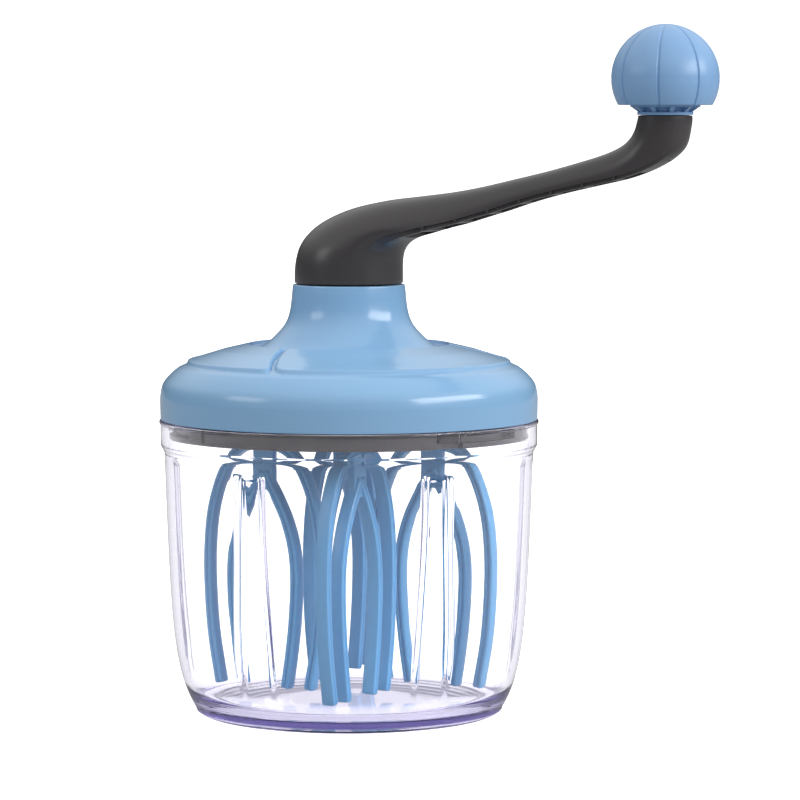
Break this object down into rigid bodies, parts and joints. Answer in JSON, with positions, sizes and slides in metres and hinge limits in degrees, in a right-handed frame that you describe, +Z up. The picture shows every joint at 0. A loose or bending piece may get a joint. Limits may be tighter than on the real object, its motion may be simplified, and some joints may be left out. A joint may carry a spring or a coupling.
{
  "type": "egg beater",
  "caption": "Hand-cranked egg beater: a clear fluted jar with a domed bayonet lid, an arched crank with a ball knob, and whisks that spin as they orbit.",
  "frame": {"origin": "centre of the flat underside of the jar, on the jar axis", "axes": "+Z up along the jar axis, +X along the crank arm at rest"},
  "size_m": [0.1892, 0.1258, 0.2273],
  "materials": {
    "clear_cup": "clear, polished, a faint violet tint in the thick edges",
    "blue_plastic": "glossy sky blue moulding",
    "knob_plastic": "satin sky blue moulding",
    "whisk_plastic": "satin mid blue moulding",
    "dark_plastic": "satin dark grey moulding",
    "gear_plastic": "natural white acetal",
    "carrier_plastic": "matt light grey moulding",
    "steel": "plain turned steel",
    "silicone": "translucent white silicone"
  },
  "bodies": {
    "cup": {"cup": "clear_cup"},
    "seal": {"seal_ring": "silicone"},
    "lid": {"lid_shell": "blue_plastic", "neck_cone": "blue_plastic", "lock_ring": "dark_plastic", "ring_gear": "gear_plastic", "upper_bush": "gear_plastic", "lower_bush": "gear_plastic", "gear_screw_1": "steel", "gear_screw_2": "steel", "gear_screw_3": "steel"},
    "crank": {"carrier_plate": "carrier_plastic", "carrier_cover": "carrier_plastic", "drive_shaft": "steel", "drive_bolt": "steel", "bolt_washer": "steel", "crank_arm": "dark_plastic", "knob_axle": "steel", "knob_washer": "steel", "carrier_screw_1": "steel", "carrier_screw_2": "steel", "carrier_screw_3": "steel", "carrier_screw_4": "steel"},
    "knob": {"knob_base": "knob_plastic", "knob_cap": "knob_plastic"},
    "beater_1": {"planet_gear_1": "gear_plastic", "spindle_1": "steel", "spindle_clip_1": "steel", "whisk_1": "whisk_plastic"},
    "beater_2": {"planet_gear_2": "gear_plastic", "spindle_2": "steel", "spindle_clip_2": "steel", "whisk_2": "whisk_plastic"},
    "beater_3": {"planet_gear_3": "gear_plastic", "spindle_3": "steel", "spindle_clip_3": "steel", "whisk_3": "whisk_plastic"},
    "beater_4": {"planet_gear_4": "gear_plastic", "spindle_4": "steel", "spindle_clip_4": "steel", "whisk_4": "whisk_plastic"}
  },
  "joints": [
    {"name": "lid_lift", "type": "slide", "parent": "cup", "child": "seal", "axis": [0, 0, 1], "range_m": [0, 0.12]},
    {"name": "lid_twist", "type": "hinge", "parent": "seal", "child": "lid", "pos_m": [0, 0, 0.0978], "axis": [0, 0, 1], "range_deg": [-25, 0]},
    {"name": "crank_turn", "type": "hinge", "parent": "lid", "child": "crank", "pos_m": [0, 0, 0.13], "axis": [0, 0, 1], "continuous": true},
    {"name": "knob_spin", "type": "hinge", "parent": "crank", "child": "knob", "pos_m": [0.109, 0, 0.205], "axis": [0, 0, 1], "continuous": true},
    {"name": "beater_1_spin", "type": "hinge", "parent": "crank", "child": "beater_1", "pos_m": [0.01271, -0.02495, 0.1], "axis": [0, 0, 1], "continuous": true},
    {"name": "beater_2_spin", "type": "hinge", "parent": "crank", "child": "beater_2", "pos_m": [0.02495, 0.01271, 0.1], "axis": [0, 0, 1], "continuous": true},
    {"name": "beater_3_spin", "type": "hinge", "parent": "crank", "child": "beater_3", "pos_m": [-0.01271, 0.02495, 0.1], "axis": [0, 0, 1], "continuous": true},
    {"name": "beater_4_spin", "type": "hinge", "parent": "crank", "child": "beater_4", "pos_m": [-0.02495, -0.01271, 0.1], "axis": [0, 0, 1], "continuous": true}
  ],
  "couplings": [
    {"joint": "beater_1_spin", "follows": "crank_turn", "ratio": -3.3333},
    {"joint": "beater_2_spin", "follows": "crank_turn", "ratio": -3.3333},
    {"joint": "beater_3_spin", "follows": "crank_turn", "ratio": -3.3333},
    {"joint": "beater_4_spin", "follows": "crank_turn", "ratio": -3.3333}
  ]
}
